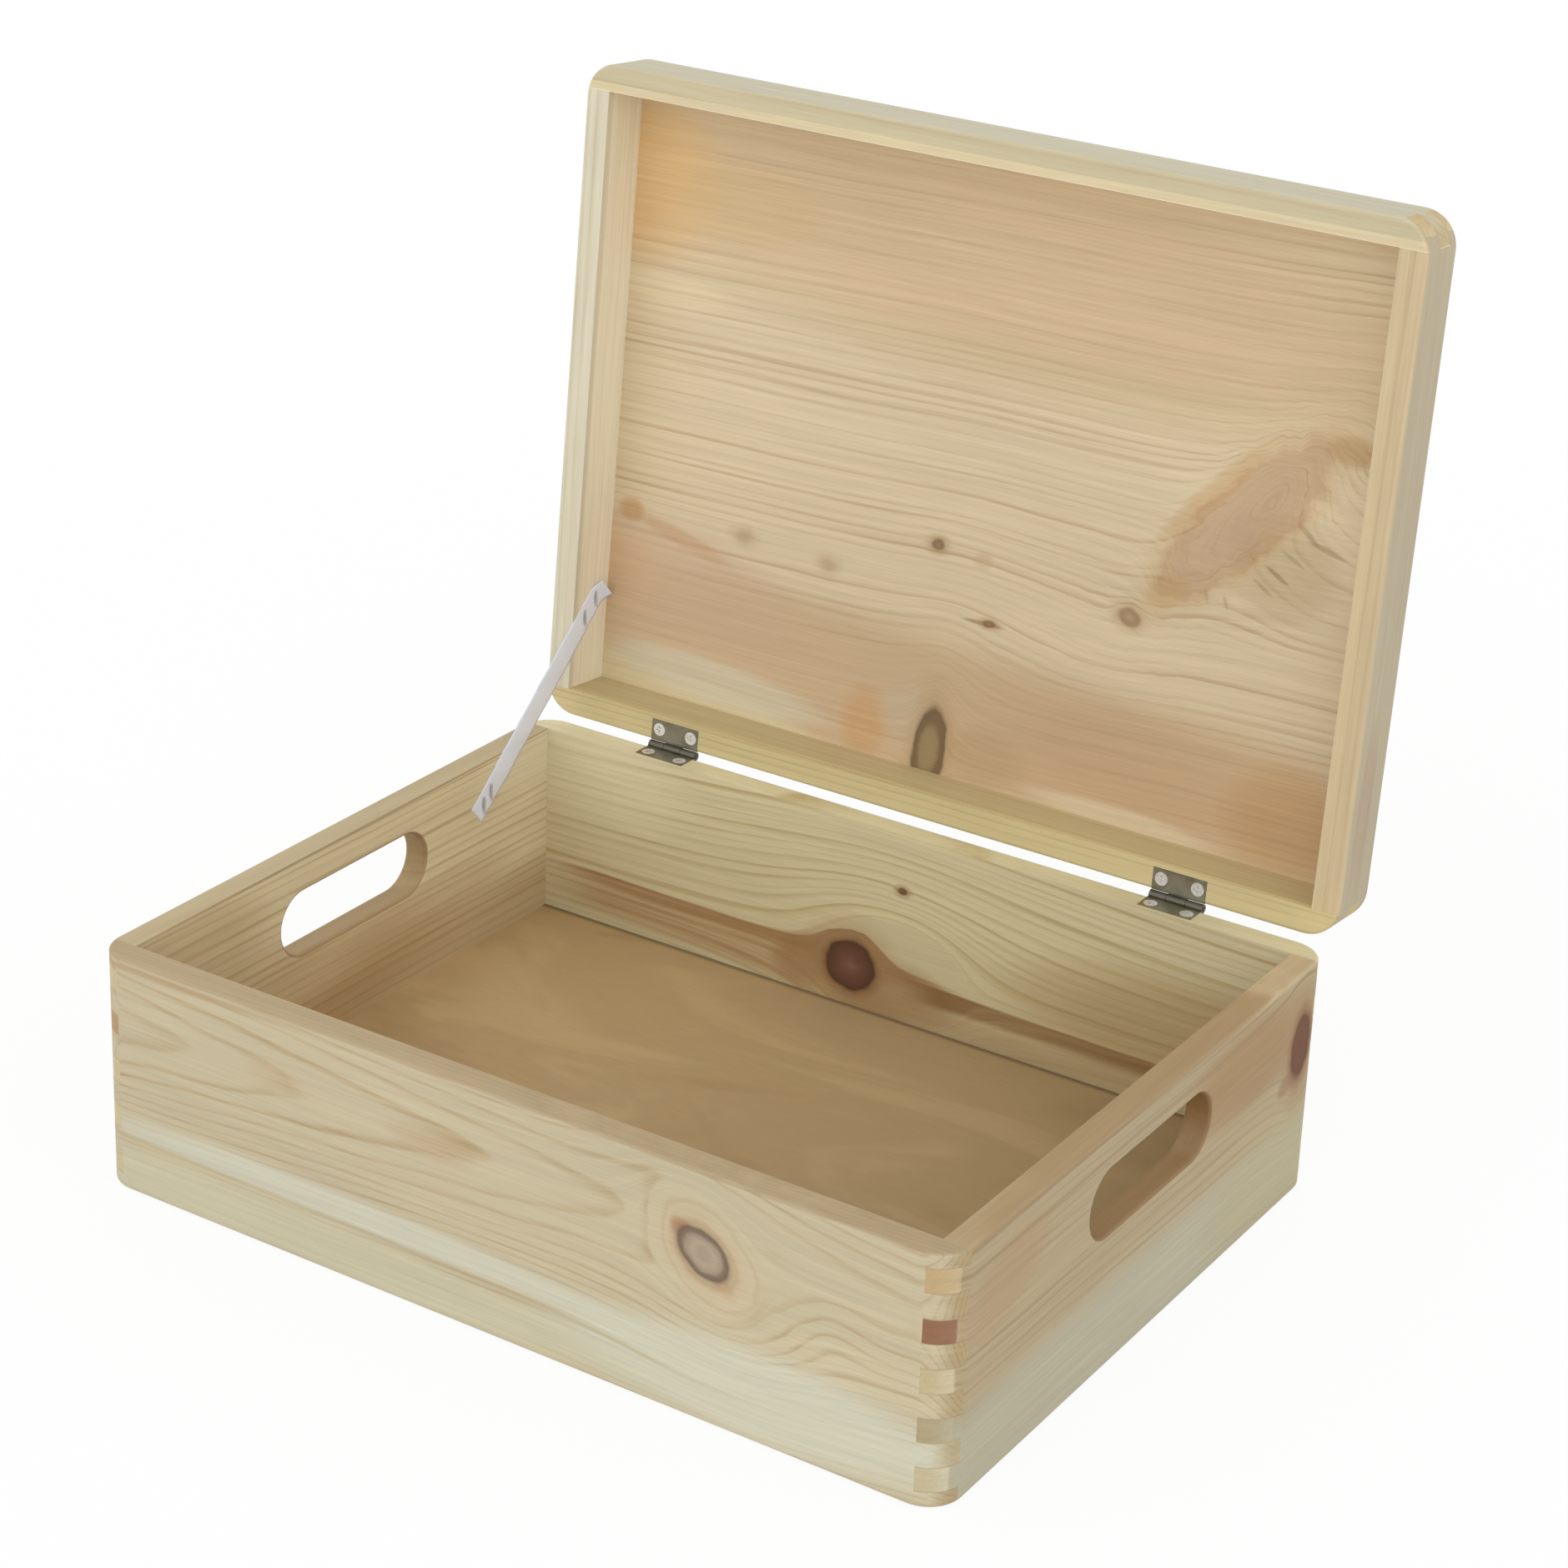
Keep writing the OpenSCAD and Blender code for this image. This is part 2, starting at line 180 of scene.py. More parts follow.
# Pine, planed and sanded, left bare: pale early wood that darkens to a thin late-wood line in each
# ring, warm knots that the lines flow round, and slightly darker end grain at the fingers.
# A board's own settings, below, take the place of these.
pineSet = {
    "lid": False,
    "ior": 1.53,
    "roughness": 0.62,
    "lateSmoother": 0.12,          # late wood is denser, so sanding leaves it smoother
    "bump": (0.25, 0.00012),       # strength, and depth in metres
    "waver": 2.4,                  # mm that a line strays across the board
    "waverSize": (130, 26, 40),    # mm along, across, through
    "waverSeed": (7.3, 3.1, 1.7),  # shift for each unit of seed, so that every board has its own pattern
    "ringShift": 0.0,              # rings
    "uneven": 1.5,                 # rings that their spacing strays
    "unevenPace": 0.31,
    "unevenSeed": 11.7,
    "lineStart": 0.5,              # share of a ring where the late wood starts
    "lineDark": 0.87,              # and where it is darkest
    "faintest": 0.35,              # force of the faintest line
    "figureSize": (120, 2.0, 9),   # mm, the streaks that run with the lines
    "figureSeed": (4.1, 6.7, 0),
    "figureSpan": (0.25, 0.75),    # the noise values between which it changes
    "figureTone": 0.15,
    "broken": (0.3, 0.65, 0.35, 1.0),    # the same, and the force of a line from broken to whole
    "mottle": (0.35, 0.6),
    "toneSize": (330, 48, 60),     # mm, the broad tone of a plank
    "toneSeed": (2.9, 5.3, 0),
    "tone": 0.14,
    "fibreSize": (34, 0.9, 0.9),   # mm; real fibres are under 0.1 mm, drawn coarser so that they show
    "fibreTone": 0.12,
    "noiseSpan": (0.2, 0.8),
    "ragged": 0.12,                # share of a knot's size that its edge strays
    "raggedSize": (9, 9, 9),       # mm
    "rampShare": 0.4,              # of a knot's colour ramp, for one knot radius
    "core": 0.1,                   # squared share of a patch that has its full force
    "endTint": "#F4EDDD",
    "endFacing": (0.5, 0.95),      # how squarely a face meets the grain, from side to end grain
    "rowStart": 7.0,               # mm, the finger rows of the corners
    "rowHeight": 10.25,
    "saw": 2.0,                    # mm of kerf that the lid's rows lost, less the rim gap
    "seam": 0.34,                  # mm, half of a glue line
    "seamCore": 0.05,
    "seamForce": 0.32,
    "seamColour": "#7A5F40",
    "knots": (),
    "flows": (),
    "patches": (),
    "streaks": (),
}
# along, across and through a board, from the closed box's x, y and z
boardAxes = {
    "long": Matrix(((1, 0, 0), (0, 0, 1), (0, -1, 0))),
    "end": Matrix(((0, 1, 0), (0, 0, 1), (1, 0, 0))),
    "flat": Matrix.Identity(3),
}


def sandedPine(name, board):
    look = {**pineSet, **board}
    material, tree = newMaterial(name)
    shut = Matrix.Rotation(closing, 3, "X") if look["lid"] else Matrix.Identity(3)
    axes = boardAxes[look["axes"]]
    shift = axes @ (pin - shut @ pin - boxMiddle) * perMetre
    grain = (axes @ shut).row[0]
    seed = look["seed"]
    coords = add(tree, "TexCoord")
    raw = add(tree, "Mapping", {
        "Vector": coords.outputs["Object"], "Location": shift,
        "Rotation": (axes @ shut).to_euler("XYZ"), "Scale": (perMetre, perMetre, perMetre)})
    # slow waver of the lines
    waver = noiseOf(tree, raw, look["waverSize"], 2.5, shift=[seed * k for k in look["waverSeed"]])
    waverOffset = add(tree, "VectorMath", [waver.outputs["Color"], midNoise], operation="SUBTRACT")
    reach = look["waver"] * 2
    space = add(tree, "VectorMath", [waverOffset, (reach, reach, reach), raw], operation="MULTIPLY_ADD")
    along, across, through = add(tree, "SeparateXYZ", [space]).outputs
    rawAlong, rawAcross, rawThrough = add(tree, "SeparateXYZ", [raw]).outputs
    # knots push the lines apart, and close some of them into rings
    bent = across
    bulges = []
    knotSpaces = []
    ragged = noiseOf(tree, raw, look["raggedSize"], 2)
    ragged = add(tree, "VectorMath", [ragged.outputs["Color"], midNoise], operation="SUBTRACT")
    for knot in look["knots"]:
        edge = knot.get("ragged", look["ragged"]) * sum(knot["size"])
        knotSpace = add(tree, "VectorMath", [ragged, (edge, edge, edge), space], operation="MULTIPLY_ADD")
        square = fromMark(tree, knotSpace, knot)
        knotSpaces.append(calc(tree, "POWER", square, 0.5))
        bent = giveWay(tree, bent, knot, square)
        if "rings" in knot:
            bulges.append(swelling(tree, square, knot["rings"], knot["ringFall"]))
    flow = bent
    for turn in look["flows"]:
        square = fromMark(tree, space, turn)
        if "rise" in turn:
            bulges.append(swelling(tree, square, turn["rise"]))
        else:
            flow = giveWay(tree, flow, turn, square)
    # rings round the log's pith, with a late-wood line in each
    fromPithA = calc(tree, "SUBTRACT", flow, look["pith"][0])
    fromPithT = calc(tree, "SUBTRACT", through, look["pith"][1])
    fromPith = add(tree, "CombineXYZ", [fromPithA, fromPithT, 0.0])
    radius = add(tree, "VectorMath", [fromPith], operation="LENGTH").outputs["Value"]
    radius = calc(tree, "MULTIPLY_ADD", along, look["lean"], radius)
    for bulge in bulges:
        radius = calc(tree, "ADD", radius, bulge)
    ringCount = calc(tree, "DIVIDE", radius, look["spacing"])
    ringSlow = calc(tree, "MULTIPLY_ADD", ringCount, look["unevenPace"], seed * look["unevenSeed"])
    ringUneven = add(tree, "TexNoise", {"W": ringSlow, "Scale": 1, "Detail": 1}, noise_dimensions="1D")
    ringCount = calc(tree, "ADD", ringCount, look["ringShift"])
    phase = calc(tree, "MULTIPLY_ADD", ringUneven, look["uneven"], ringCount)
    ringPlace = calc(tree, "FRACT", phase)
    ringNumber = calc(tree, "FLOOR", phase)
    ringChance = add(tree, "TexWhiteNoise", {"W": ringNumber}, noise_dimensions="1D")
    ringForce = add(tree, "MapRange", [ringChance.outputs["Value"], 0, 1, look["faintest"], 1])
    rise = softStep(tree, ringPlace, look["lineStart"], look["lineDark"], 0, 1)
    drop = softStep(tree, ringPlace, look["lineDark"], 1.0, 1, 0)
    lateWood = calc(tree, "MULTIPLY", calc(tree, "MULTIPLY", rise, drop), ringForce)
    # streaks that run with the lines and break them up
    lineSpace = add(tree, "CombineXYZ", [along, flow, through])
    figure = noiseOf(tree, lineSpace, look["figureSize"], 3, shift=[seed * k for k in look["figureSeed"]],
                     roughness=0.6)
    broken = add(tree, "MapRange", [figure, *look["broken"]])
    lateWood = calc(tree, "MULTIPLY", lateWood, broken)
    colour = mixColour(tree, lateWood, hexColour(look["early"]), hexColour(look["late"]))
    # broad tone of the plank, and its fibres
    tone = noiseOf(tree, raw, look["toneSize"], 2, shift=[seed * k for k in look["toneSeed"]])
    fibre = noiseOf(tree, raw, look["fibreSize"], 2)
    toneLight = add(tree, "MapRange", [tone, *look["noiseSpan"], *swing(look["tone"])])
    fibreLight = add(tree, "MapRange", [fibre, *look["noiseSpan"], *swing(look["fibreTone"])])
    figureLight = add(tree, "MapRange", [figure, *look["figureSpan"], *swing(-look["figureTone"])])
    light = calc(tree, "MULTIPLY", calc(tree, "MULTIPLY", toneLight, fibreLight), figureLight)
    # clouds of heartwood, sapwood and pitch
    for patch in look["patches"]:
        square = fromMark(tree, space, patch)
        mask = softStep(tree, square, patch.get("core", look["core"]), 1, patch["force"], 0)
        if "depth" in patch:
            mask = calc(tree, "MULTIPLY", mask, calc(tree, "COMPARE", rawThrough, *patch["depth"]))
        colour = mixColour(tree, mask, colour, hexColour(patch["colour"]))
    # streaks of resin and heartwood, which follow the lines
    for streak in look["streaks"]:
        level = calc(tree, "MULTIPLY_ADD", along, -streak.get("slope", 0.0), -streak["across"])
        level = calc(tree, "ADD", level, bent)
        half = streak["half"]
        low = softStep(tree, level, -half - streak["softLow"], -half, 0, 1)
        high = softStep(tree, level, half, half + streak["softHigh"], 1, 0)
        mask = calc(tree, "MULTIPLY", low, high)
        for place, gone in streak["ends"]:
            mask = calc(tree, "MULTIPLY", mask, softStep(tree, along, place, gone, 1, 0))
        force = streak["force"]
        if "mottled" in streak:
            force = add(tree, "MapRange", [figure, *look["mottle"], force * streak["mottled"], force])
        mask = calc(tree, "MULTIPLY", mask, force)
        colour = mixColour(tree, mask, colour, hexColour(streak["colour"]))
    share = look["rampShare"]
    for knot, distance in zip(look["knots"], knotSpaces):
        shade = add(tree, "ValToRGB", [calc(tree, "MULTIPLY", distance, share)],
                    stops=[(p * share, hexColour(c, f)) for p, c, f in knot["shade"]])
        colour = mixColour(tree, shade.outputs["Alpha"], colour, shade.outputs["Color"])
    colour = add(tree, "VectorMath", {"Vector": colour, "Scale": light}, operation="SCALE")
    # end grain drinks light
    facing = add(tree, "VectorMath", [coords.outputs["Normal"], grain], operation="DOT_PRODUCT").outputs["Value"]
    endGrain = softStep(tree, calc(tree, "ABSOLUTE", facing), *look["endFacing"], 0, 1)
    colour = add(tree, "Mix", [endGrain, colour, hexColour(look["endTint"])],
                 data_type="RGBA", blend_type="MULTIPLY")
    # glue lines between the fingers, only where the boards cross
    if "corner" in look:
        rowShift = look["rowStart"] - (look["saw"] if look["lid"] else 0)
        row = calc(tree, "PINGPONG", calc(tree, "SUBTRACT", rawAcross, rowShift), look["rowHeight"])
        nearLow = add(tree, "MapRange", [row, look["seam"], look["seamCore"], 0, 1])
        nearHigh = add(tree, "MapRange", [row, look["rowHeight"] - look["seam"], look["rowHeight"], 0, 1])
        near = calc(tree, "MAXIMUM", nearLow, nearHigh)
        atEnd = calc(tree, "GREATER_THAN", calc(tree, "ABSOLUTE", rawAlong), look["corner"])
        seamMask = calc(tree, "MULTIPLY", calc(tree, "MULTIPLY", near, atEnd), look["seamForce"])
        colour = mixColour(tree, seamMask, colour, hexColour(look["seamColour"]))
    rough = add(tree, "MapRange", [lateWood, 0, 1, look["roughness"], look["roughness"] - look["lateSmoother"]])
    bump = add(tree, "Bump", {"Strength": look["bump"][0], "Distance": look["bump"][1], "Height": fibre})
    surface = add(tree, "BsdfPrincipled", {
        "Base Color": colour, "Roughness": rough, "IOR": look["ior"], "Normal": bump})
    add(tree, "OutputMaterial", [surface])
    return material


# the rim that the saw left along a base board, in a tone of its own: painted light and shade on the top face, for how
# the light falls there
def paintedRimTone(colour, force):
    return {"at": (0, 107), "size": (600, 3.6), "colour": colour, "force": force, "core": 0.5}


# the wall of a hand slot in an end board, at the given depth, darker: partly the end grain's own tone, partly painted
# shade in the slot
def shadedSlotWall(colour, force, depth):
    return {"at": (0, 74.5), "size": (64, 26), "colour": colour, "force": force, "core": 0.7, "depth": depth}


# All board places are in mm along and across; pith is across and through.
# front board: flat-sawn, with arches at the left, one knot in closed rings, and pale sapwood below
frontBoard = {
    "axes": "long", "seed": 1.0, "corner": 188.0, "uneven": 0.5, "ringShift": 0.826, "waver": 1.6, "lineStart": 0.55,
    "faintest": 0.45, "endTint": "#E4D8C2",
    "pith": (76, 100), "spacing": 2.0, "lean": 0.0282, "early": "#C0B394", "late": "#AC9268",
    "knots": [
        {"at": (95.5, 71), "size": (12.2, 8.8), "tilt": -36, "push": 5.0, "rings": 7.0, "ringFall": 0.28, "shade": [
            (0.0, "#A08C78", 0.95), (0.2, "#9F8B77", 0.95), (0.45, "#A8957F", 0.95), (0.7, "#998570", 0.95),
            (0.82, "#776350", 0.95), (0.96, "#665240", 0.95), (1.1, "#9A7C5A", 0.6), (1.45, "#BDA078", 0.3),
            (2.2, "#C0A580", 0.0)]},
    ],
    "flows": [
        {"at": (150, 57), "size": (17, 15), "rise": 2.6},
    ],
    "patches": [
        {"at": (-70, 30.5), "size": (170, 9), "colour": "#CBC9B5", "force": 0.8, "core": 0.2},
        {"at": (120, 20), "size": (120, 24), "colour": "#CCCBB7", "force": 0.75, "core": 0.2},
        {"at": (-100, 10), "size": (200, 14), "colour": "#C5C0A4", "force": 0.75, "core": 0.3},
        {"at": (86, 78.5), "size": (7, 5), "tilt": -30, "colour": "#A26A48", "force": 0.85},
        {"at": (105, 60), "size": (7, 4), "tilt": -30, "colour": "#B98F6A", "force": 0.4},
        {"at": (-32, 74), "size": (26, 8), "tilt": -4, "colour": "#B79F7E", "force": 0.5},
        {"at": (-106, 77), "size": (22, 9), "tilt": -4, "colour": "#BBA582", "force": 0.4},
        paintedRimTone("#A38A62", 0.65),
    ],
    "streaks": [
        {"across": 101.5, "half": 0.5, "softLow": 2.0, "softHigh": 1.2, "ends": [(-150, -70)],
         "force": 0.55, "colour": "#A98657"},
        {"across": 25.0, "half": 0.3, "softLow": 1.2, "softHigh": 1.0, "ends": [(60, 120)],
         "force": 0.4, "colour": "#B09C6C"},
    ],
}
# back board: lines rise over one dark knot, in a band of resin along the floor
backBoard = {
    "axes": "long", "seed": 2.0, "corner": 188.0, "waver": 1.6, "lineStart": 0.4, "faintest": 0.3,
    "pith": (-170, -130), "spacing": 4.3, "lean": 0.0, "early": "#D4C9A2", "late": "#B8A371",
    "knots": [
        {"at": (-21, 35.2), "size": (12.4, 11.8), "push": 1.7, "shade": [
            (0.0, "#85604F", 1.0), (0.2, "#7A5344", 1.0), (0.45, "#6E4837", 1.0), (0.7, "#66412E", 1.0),
            (0.85, "#5E3B26", 1.0), (0.97, "#55351F", 1.0), (1.08, "#86643F", 0.75), (1.3, "#A5825A", 0.5),
            (1.7, "#AC8C62", 0.3), (2.4, "#AD9068", 0.0)]},
        {"at": (4, 78.5), "size": (2.4, 1.7), "shade": [
            (0.0, "#6B4A33", 0.95), (0.8, "#6B4A33", 0.95), (1.2, "#98794E", 0.6), (2.4, "#A08458", 0.0)]},
    ],
    "flows": [
        {"at": (2, 38), "size": (36, 25)},
    ],
    "patches": [
        {"at": (150, 50), "size": (110, 36), "colour": "#AC8C54", "force": 0.6},
        {"at": (-44, 31), "size": (24, 15), "tilt": 20, "colour": "#845B34", "force": 0.7},
        {"at": (-165, 90), "size": (64, 34), "colour": "#E2D9B6", "force": 0.5},
        {"at": (14, 32), "size": (24, 14), "tilt": -20, "colour": "#B09268", "force": 0.6},
        {"at": (60, 20), "size": (130, 11), "colour": "#AE946A", "force": 0.7},
    ],
    "streaks": [
        {"across": 31, "half": 7.5, "softLow": 9, "softHigh": 1.2, "slope": -0.012, "ends": [(-10, 40), (-150, -195)],
         "force": 0.8, "colour": "#AE8A5C", "mottled": 0.6},
        {"across": 33, "half": 3.5, "softLow": 4, "softHigh": 3, "slope": -0.012, "ends": [(-60, -35), (-110, -165)],
         "force": 0.15, "colour": "#9A7340", "mottled": 0.6},
        {"across": 37.6, "half": 1.0, "softLow": 4, "softHigh": 1.2, "slope": -0.012, "ends": [(5, 45), (-150, -195)],
         "force": 0.7, "colour": "#9A7145", "mottled": 0.65},
        {"across": 34, "half": 2.7, "softLow": 4.0, "softHigh": 1.2, "slope": -0.014, "ends": [(26, 0)],
         "force": 0.9, "colour": "#8B663A", "mottled": 0.8},
    ],
}
# left board: straight warm lines, painted shade that darkens and warms its inner face towards the floor, and one
# brown finger
leftInside = (-188, 1)
leftBoard = {
    "axes": "end", "seed": 3.0, "corner": 138.0, "waver": 1.4,
    "pith": (-160, -150), "spacing": 4.6, "lean": 0.012, "early": "#DDD0AC", "late": "#B99C6C",
    "patches": [
        # painted shade on the inner face: darker and warmer towards the floor and the front; painted light in the
        # paler patch high at the back
        {"at": (-70, 34), "size": (150, 46), "colour": "#A07740", "force": 0.48, "depth": leftInside},
        {"at": (-112, 84), "size": (66, 36), "colour": "#A67F4C", "force": 0.32, "core": 0.2, "depth": leftInside},
        {"at": (48, 50), "size": (74, 15), "tilt": 2, "colour": "#A07A48", "force": 0.32, "depth": leftInside},
        {"at": (125, 94), "size": (48, 20), "colour": "#E8DFC2", "force": 0.5, "core": 0.2, "depth": leftInside},
        {"at": (30, 22), "size": (230, 26), "tilt": 3, "colour": "#96703C", "force": 0.5, "depth": leftInside},
        paintedRimTone("#AF9C75", 0.8),
        shadedSlotWall("#97794A", 0.8, (-194, 5.9)),
        {"at": (-158, 52), "size": (20, 300), "colour": "#CDC2A3", "force": 0.95, "core": 0.8},
    ],
    "streaks": [
        {"across": 74, "half": 4, "softLow": 1, "softHigh": 1, "ends": [(-140, -128)],
         "force": 0.6, "colour": "#A87846"},
    ],
}
# right board: a paler lower strip, tan above, one dark knot near the back, fingers of their own tone
fingerSet = {
    "half": 4.9,
    "soft": 0.3,
    "ends": [(-143.2, -141.8)],
    "tones": [
        (94.2, 0.6, "#C3A67A"), (73.6, 0.9, "#8A5A41"), (53.1, 0.6, "#C6BB9C"), (32.6, 0.55, "#A09880"),
        (12.1, 0.7, "#C9C2A8")],
}
fingers = [
    {"across": across, "half": fingerSet["half"], "softLow": fingerSet["soft"], "softHigh": fingerSet["soft"],
     "ends": fingerSet["ends"], "force": force, "colour": colour}
    for across, force, colour in fingerSet["tones"]]
rightBoard = {
    "axes": "end", "seed": 4.0, "corner": 138.0, "waver": 1.8,
    "pith": (-40, 120), "spacing": 3.4, "lean": 0.014, "early": "#AD9B78", "late": "#98805C",
    "knots": [
        {"at": (128, 71), "size": (8.4, 15.0), "shade": [
            (0.0, "#63370F", 1.0), (0.5, "#683B15", 1.0), (0.85, "#5F3410", 1.0), (1.1, "#8A6238", 0.8),
            (1.5, "#9E7F5A", 0.5), (2.4, "#A58C68", 0.0)]},
    ],
    "patches": [
        {"at": (0, 8), "size": (500, 36), "colour": "#B0AA92", "force": 0.9, "core": 0.4},
        {"at": (-110, 80), "size": (40, 20), "tilt": 20, "colour": "#A88761", "force": 0.5},
        {"at": (80, 82), "size": (75, 26), "colour": "#997545", "force": 0.7},
        {"at": (110, 20), "size": (80, 30), "colour": "#ABA07A", "force": 0.55},
        {"at": (118, 58), "size": (10, 6), "tilt": 20, "colour": "#855B3A", "force": 0.6},
        paintedRimTone("#C2AC86", 0.75),
        shadedSlotWall("#8A6A42", 0.85, (194, 5.6)),
        {"at": (-158, 52), "size": (16.5, 300), "colour": "#C4B795", "force": 0.95, "core": 0.8},
    ],
    "streaks": [
        {"across": 104.4, "half": 0.8, "softLow": 1.4, "softHigh": 0.8, "slope": 0.006, "ends": [(-143, -147)],
         "force": 0.55, "colour": "#8F6E44"},
        {"across": 95, "half": 0.4, "softLow": 1.6, "softHigh": 0.8, "slope": 0.008, "ends": [(-143, -147)],
         "force": 0.45, "colour": "#8F6E44"},
        *fingers,
    ],
}
# lid rails: quarter-sawn strips with nearly straight lines; each face gets its own tone of painted light and shade
lidFrontRail = {
    "axes": "long", "lid": True, "seed": 5.0, "corner": 188.0, "waver": 1.2,
    "pith": (40, 10), "spacing": 4.6, "lean": 0.006, "early": "#C5B896", "late": "#B6A27A",
    "patches": [
        # painted light on the inner face, which faces down on the open lid; a painted highlight along the rim's inner
        # edge; the outer face, which faces up, painted greyer
        {"at": (0, 120), "size": (600, 20), "colour": "#F5E9C9", "force": 0.95, "core": 0.7, "depth": (138, 0.2)},
        {"at": (0, 106), "size": (600, 8), "colour": "#DDCBA2", "force": 0.7, "core": 0.5, "depth": (140, 1.8)},
        {"at": (0, 120), "size": (600, 20), "colour": "#BFBCA6", "force": 0.6, "core": 0.7, "depth": (150, 0.6)},
    ],
}
lidBackRail = {
    "axes": "long", "lid": True, "seed": 6.0, "corner": 188.0, "waver": 1.2,
    "pith": (40, -10), "spacing": 4.6, "lean": 0.008, "early": "#CBBB8B", "late": "#B59D67",
    "patches": [
        # painted shade: the inner face, which faces up on the open lid, darkened
        {"at": (0, 122), "size": (600, 15), "colour": "#B9A57C", "force": 0.7, "core": 0.6, "depth": (-138, 0.2)},
    ],
}
lidLeftRail = {
    "axes": "end", "lid": True, "seed": 7.0, "corner": 138.0, "waver": 1.2,
    "pith": (30, -50), "spacing": 4.6, "lean": 0.005, "early": "#D5CDB4", "late": "#C8B996",
    "patches": [
        # painted light: the inner face lightened
        {"at": (0, 122), "size": (600, 15), "colour": "#EFE5CC", "force": 0.9, "core": 0.6, "depth": (-188, 0.2)},
    ],
}
lidRightRail = {
    "axes": "end", "lid": True, "seed": 8.0, "corner": 138.0, "waver": 1.2,
    "pith": (40, 50), "spacing": 4.6, "lean": 0.006, "early": "#C8B48D", "late": "#BCA47A",
    "patches": [
        # painted light on the inner face, a painted highlight along the rim's inner edge, and painted shade that
        # greys the outer face, which faces right
        {"at": (0, 120), "size": (600, 20), "colour": "#D6C7A2", "force": 0.85, "core": 0.7, "depth": (188, 0.2)},
        {"at": (0, 106), "size": (600, 8), "colour": "#D2BF96", "force": 0.5, "core": 0.5, "depth": (190.5, 2.2)},
        {"at": (0, 122), "size": (600, 17), "colour": "#AEA287", "force": 0.9, "core": 0.6, "depth": (200, 2.4)},
        {"at": (96, 118), "size": (46, 9), "colour": "#A98F76", "force": 0.6, "depth": (200, 2.4)},
    ],
}
pinKnot = [
    (0.0, "#94734A", 0.9), (0.4, "#86643E", 0.9), (0.8, "#7E5E3A", 0.9), (1.2, "#A08054", 0.5), (2.4, "#B89A70", 0.0)]
oldKnot = [
    (0.0, "#A68A66", 0.85), (0.5, "#947450", 0.85), (0.85, "#8C6C46", 0.8), (1.2, "#A88A60", 0.4),
    (2.2, "#B89A70", 0.0)]
faintKnot = [(0.0, "#A07E56", 0.5), (0.8, "#9E7C54", 0.4), (1.6, "#B39468", 0.2), (2.4, "#B89A70", 0.0)]
